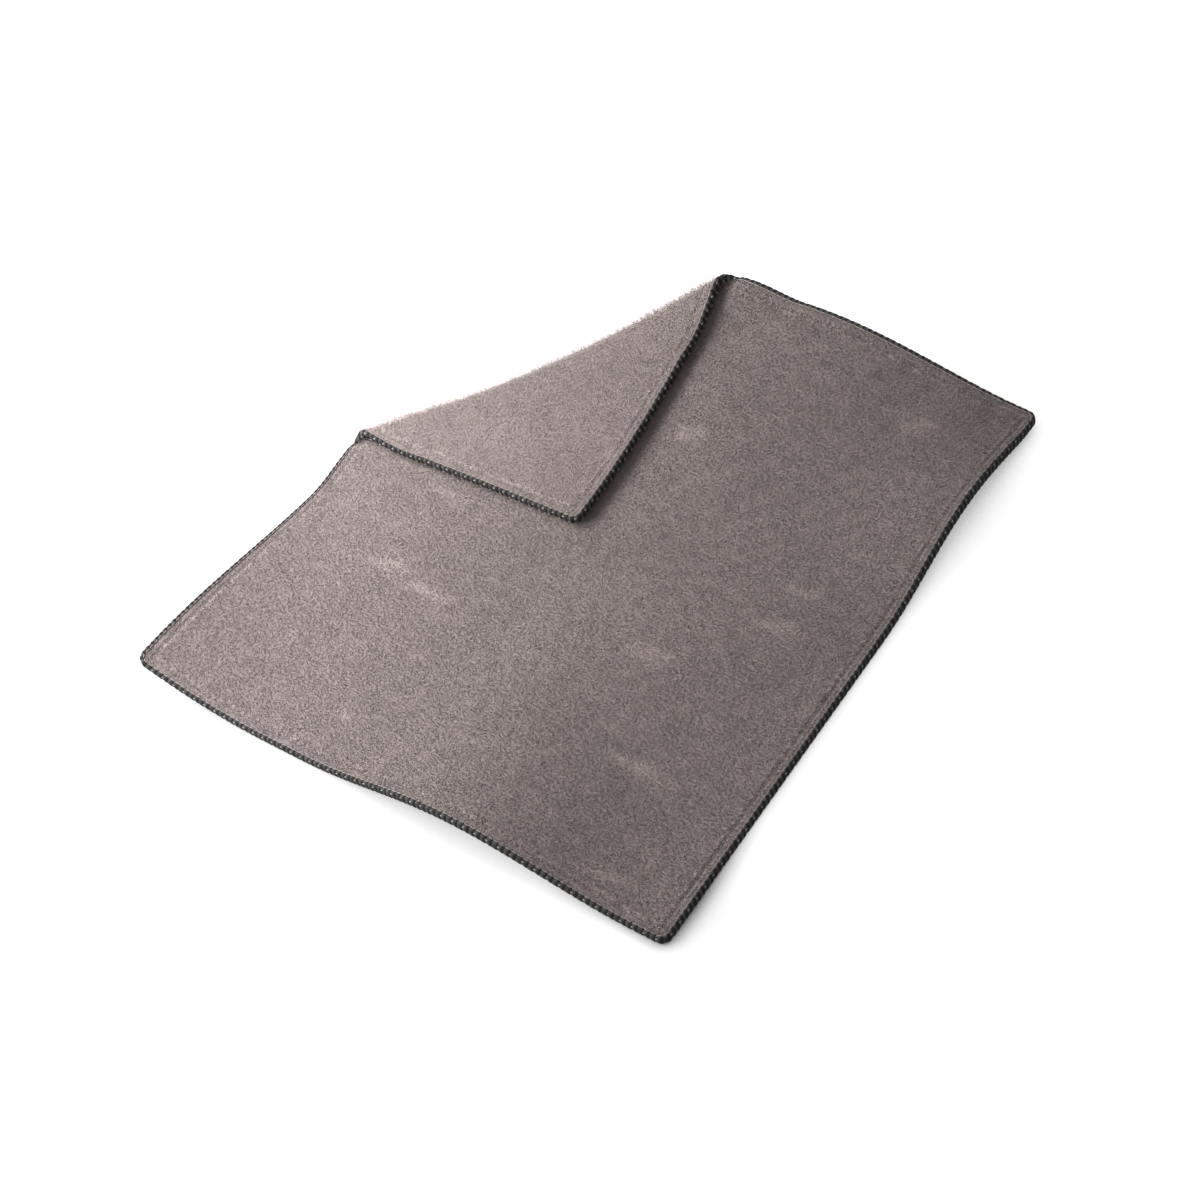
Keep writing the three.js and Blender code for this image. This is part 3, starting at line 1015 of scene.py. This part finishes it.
def tube(path, radius, sides, reference, flatness=1.0):
    """Vertices and faces of a closed tube along a path, thinner towards its ends."""
    path = np.array(path)
    tangents = np.gradient(path, axis=0)
    tangents /= np.linalg.norm(tangents, axis=1, keepdims=True)
    side = np.cross(tangents, reference)
    side /= np.linalg.norm(side, axis=1, keepdims=True)
    other = np.cross(tangents, side)
    vertices = []
    for k in range(len(path)):
        fullness = math.sin(math.pi * (k + 0.5) / len(path))
        thick = radius * (1 - TUBE_TAPER + TUBE_TAPER * fullness)
        for angle in 2 * math.pi * np.arange(sides) / sides:
            ring = flatness * side[k] * math.cos(angle) + other[k] * math.sin(angle)
            vertices.append(path[k] + thick * ring)
    return vertices, ring_faces(len(path), sides)


wrap_path = np.array([*WRAP_HALF, WRAP_OUTERMOST, *WRAP_MIRRORED]) * MM
wrap = tube(wrap_path, WRAP_RADIUS, WRAP_SIDES, (1, 0, 0), WRAP_FLATNESS)
wraps = add_stitches("overlock_wraps", edge_points, wrap, OVERLOCK_PITCH, DARK_THREAD)

# %% [markdown]
# ## Loops between the wraps
#
# Short lengths of the other looper thread show as pale dots between the wraps, by turns nearer to the face
# and to the reverse. Their pale colour is a painted glint. Two lines of stitches, each in every second gap,
# place them.

# %% Loops between the wraps
LOOP_HALF_LENGTH = 0.8 * MM
LOOP_POINTS = 5
LOOP_RADIUS = 0.45 * MM
LOOP_INSET = -1.05 * MM
LOOP_DEPTH = 1.7 * MM
THREAD_SIDES = 6
IN_GAPS = 0.5  # share of the pitch


def loop_stitch(side):
    shares = np.linspace(-1, 1, LOOP_POINTS)
    path = [(share * LOOP_HALF_LENGTH, LOOP_INSET, side * LOOP_DEPTH) for share in shares]
    return tube(path, LOOP_RADIUS, THREAD_SIDES, (0, 0, 1))


face_loops = add_stitches("overlock_face_loops", edge_points, loop_stitch(FACE), OVERLOCK_PITCH,
                          PAINTED_GLINT_THREAD, IN_GAPS, first=0, every=2)
reverse_loops = add_stitches("overlock_reverse_loops", edge_points, loop_stitch(REVERSE), OVERLOCK_PITCH,
                             PAINTED_GLINT_THREAD, IN_GAPS, first=1, every=2)

# %% [markdown]
# ## Needle thread of the overlock
#
# A needle thread holds the loopers, as a fine line of straight stitches just inside the bead. It hardly shows
# in the pile, but the real cloth has it. Each stitch lies on both faces, with its ends diving into the cloth.

# %% Needle thread of the overlock
STITCH_PROFILE = [  # shares of the stitch's length, and of its dive
    (-0.5, 1), (-0.42, 0.3), (-0.2, 0), (0.2, 0), (0.42, 0.3), (0.5, 1),
]
NEEDLE_INSET = 0.9 * MM
NEEDLE_RADIUS = 0.22 * MM
NEEDLE_DEPTH = PILE - 0.4 * MM
NEEDLE_DIVE = 0.5 * MM


def straight_stitch(length, depth, dive, radius):
    bodies = []
    for side in (FACE, REVERSE):
        path = [(length * share, 0, side * (depth - dive * drop)) for share, drop in STITCH_PROFILE]
        bodies.append(tube(path, radius, THREAD_SIDES, (0, 1, 0)))
    return joined(bodies)


needle_points = edge_path(NEEDLE_INSET, CORNER_RADIUS - NEEDLE_INSET)[0]
needle_stitch = straight_stitch(OVERLOCK_PITCH, NEEDLE_DEPTH, NEEDLE_DIVE, NEEDLE_RADIUS)
needles = add_stitches("overlock_needle", needle_points, needle_stitch, OVERLOCK_PITCH, TAUPE_THREAD)

# %% [markdown]
# ## Border seam
#
# The border seam is a line of straight stitches in the groove, on both faces. It could be a dashed texture,
# but real stitches sink into the pile. Needle and bobbin thread look alike, so one stitch has both.

# %% Border seam
SEAM_PITCH = 3.4 * MM
SEAM_STITCH = 0.85 * SEAM_PITCH
SEAM_RADIUS = 0.35 * MM
SEAM_DEPTH = PILE - SEAM_DIP - GROUND_DROP
SEAM_DIVE = 0.9 * MM
SEAM_CORNER_RADIUS = 1 * MM

seam_points = edge_path(SEAM_INSET, SEAM_CORNER_RADIUS)[0]
seam_stitch = straight_stitch(SEAM_STITCH, SEAM_DEPTH, SEAM_DIVE, SEAM_RADIUS)
seams = add_stitches("border_seam", seam_points, seam_stitch, SEAM_PITCH, TAUPE_THREAD)

# %% [markdown]
# ## The knitted ground
#
# Under the pile both layers have a slightly uneven knitted ground. Two sheets could be made, but nothing
# shows between them. So each zone is one closed body with both faces and a rim under the overlock, and no
# gap can be seen from any side.

# %% Ground of each zone
RELIEF = 0.25 * MM
RELIEF_SCALE = (130, 130)
SHARP_ANGLE = math.radians(60)


def ground_height(x, y):
    relief = RELIEF * lumps(x, y, RELIEF_SCALE)
    return pile_height(x, y) - (GROUND_DROP + relief) * smooth(edge_distance(x, y) / RIM_RISE)


def closed_ground(name, sheet):
    x, y = sheet.points.T
    height = ground_height(x, y)
    count = len(sheet.points)
    vertices = np.concatenate([np.column_stack([x, y, height]), np.column_stack([x, y, -height])])
    under = [[i + count for i in reversed(face)] for face in sheet.faces]
    rim = [(b, a, a + count, b + count) for a, b in sheet.rim]
    piece = new_object(name, vertices, sheet.faces + under + rim, GROUND)
    stroked_and_highlight = piece.data.attributes.new("stroked_and_highlight", "FLOAT", "POINT")
    stroked_and_highlight.data.foreach_set("value", np.tile(sheet.stroked_and_highlight, 2).astype(np.float32))
    piece.data.set_sharp_from_angle(angle=SHARP_ANGLE)
    return piece


for zone, sheet in sheets.items():
    ground = closed_ground(f"ground_{zone}", sheet)
    print_triangles(ground)
    put_in_zone(ground, zone)

# %% [markdown]
# ## What stands for what
#
# Every CAD solid is hidden and replaced by the piece that shows it: the layers by the ground, the loopers by
# the wraps and each straight thread by its stitches.

LAYERS = ("face_plush", "reverse_plush")
LOOPERS = ("upper_looper", "lower_looper")
NEEDLE = ("overlock_needle_thread",)
BORDER = ("border_needle_thread", "border_bobbin_thread")
LAYER_PREFIX = {"lying": "", "roll": "roll_", "corner": "corner_"}
THREAD_PREFIXES = {"lying": ("",), "roll": ("left_roll_", "rear_roll_"), "corner": ("corner_",)}

for zone, sheet in sheets.items():
    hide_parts(*[LAYER_PREFIX[zone] + name for name in LAYERS])
    for piece, names in ((wraps[zone], LOOPERS), (needles[zone], NEEDLE), (seams[zone], BORDER)):
        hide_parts(*[prefix + name for prefix in THREAD_PREFIXES[zone] for name in names])

# %% [markdown]
# ## Floor
#
# The photograph has a white background and a soft shadow close to the near corner, with hardly any elsewhere.
# A white floor under the lamps would show their shadow along the whole right edge. So the floor is grey for
# the light, and glows white only for rays that look at it. Ambient occlusion dims that glow near the cloth.

# %% Floor with a contact shadow
FLOOR_HALF_SIDE = 3.0
FLOOR_DROP = 0.2 * MM
FLOOR_GREY = 0.2
FLOOR_FINISH = {"Roughness": 0.9, "Specular IOR Level": 0.2}
SHADOW_CENTRE = (0.225, -0.175)
SHADOW_REACH = (0.13, 0.07)
SHADOW_HEIGHT = 0.06
SHADOW_DEPTH = 5
FAR_SHADOW_DEPTH = 0.5
SHADOW_RAYS = 3


def add_seen(tree):
    """1 for rays that look at the background, straight or mirrored, and 0 for those that gather light."""
    path = add_node(tree, "ShaderNodeLightPath").outputs
    reflected = add_math(tree, "MAXIMUM", path["Is Glossy Ray"], path["Is Transmission Ray"])
    return add_math(tree, "MAXIMUM", path["Is Camera Ray"], reflected)


def add_glow(tree):
    place = add_node(tree, "ShaderNodeTexCoord").outputs["Object"]
    inputs = {"Vector": place, "Location": (*SHADOW_CENTRE, 0), "Scale": (*SHADOW_REACH, 1)}
    moved = add_node(tree, "ShaderNodeMapping", inputs, vector_type="TEXTURE").outputs["Vector"]
    reach = add_node(tree, "ShaderNodeVectorMath", {0: moved}, operation="LENGTH").outputs["Value"]
    sky = add_node(tree, "ShaderNodeAmbientOcclusion", {"Distance": SHADOW_HEIGHT}, samples=SHADOW_RAYS)
    open_sky = sky.outputs["AO"]
    near = add_math(tree, "MULTIPLY", add_math(tree, "POWER", open_sky, SHADOW_DEPTH), 1 - FLOOR_GREY)
    far = add_math(tree, "POWER", open_sky, FAR_SHADOW_DEPTH)
    inputs = {"Value": reach, "To Min": near, "To Max": far}
    glow = add_node(tree, "ShaderNodeMapRange", inputs, interpolation_type="SMOOTHSTEP").outputs["Result"]
    return add_math(tree, "MULTIPLY", glow, add_seen(tree))


def add_floor():
    square = ((-1, -1), (1, -1), (1, 1), (-1, 1))
    corners = [(x * FLOOR_HALF_SIDE, y * FLOOR_HALF_SIDE, -FLOOR_DROP) for x, y in square]
    material, tree, shader = new_material("floor")
    set_inputs(tree, shader, {
        **FLOOR_FINISH, "Base Color": (*grey(FLOOR_GREY), 1),
        "Emission Color": (*WHITE, 1), "Emission Strength": add_glow(tree),
    })
    new_object("floor", corners, [(0, 1, 2, 3)], material)
    print("floor", 2 * FLOOR_HALF_SIDE, "m square")


add_floor()

# %% [markdown]
# ## Light
#
# The cloth is lit softly from the left of the picture. One large lamp could do it, but two disk lamps, to the
# left and to the front left, come closer to the shading of the waves and the fold. A white surround fills the
# shadows. It looks white to the camera at any strength, as the floor does.

# %% Lamps and surround
SURROUND = 0.45
LAMPS = [  # name, place and disk size in metres, and power in watts
    ("left_lamp", (-0.36, -0.05, 0.32), 0.3, 3.15),
    ("front_left_lamp", (-0.35, -0.45, 0.4), 0.4, 4.88),
]


def add_lamp(name, place, size, power):
    data = bpy.data.lights.new(name, "AREA")
    data.shape = "DISK"
    data.size = size
    data.energy = power
    lamp = link_object(name, data)
    lamp.location = place
    lamp.rotation_euler = (-Vector(place)).to_track_quat("-Z", "Y").to_euler()
    print(name, "at", place, "with", power, "watts")


def add_surround():
    world = bpy.data.worlds.new("surround")
    world.use_nodes = True
    tree = world.node_tree
    inputs = {"Value": add_seen(tree), "To Min": SURROUND, "To Max": 1}
    strength = add_node(tree, "ShaderNodeMapRange", inputs).outputs["Result"]
    set_inputs(tree, tree.nodes["Background"], {"Color": (*WHITE, 1), "Strength": strength})
    bpy.context.scene.world = world


add_surround()
for lamp in LAMPS:
    add_lamp(*lamp)
bpy.context.scene.view_settings.view_transform = "Standard"
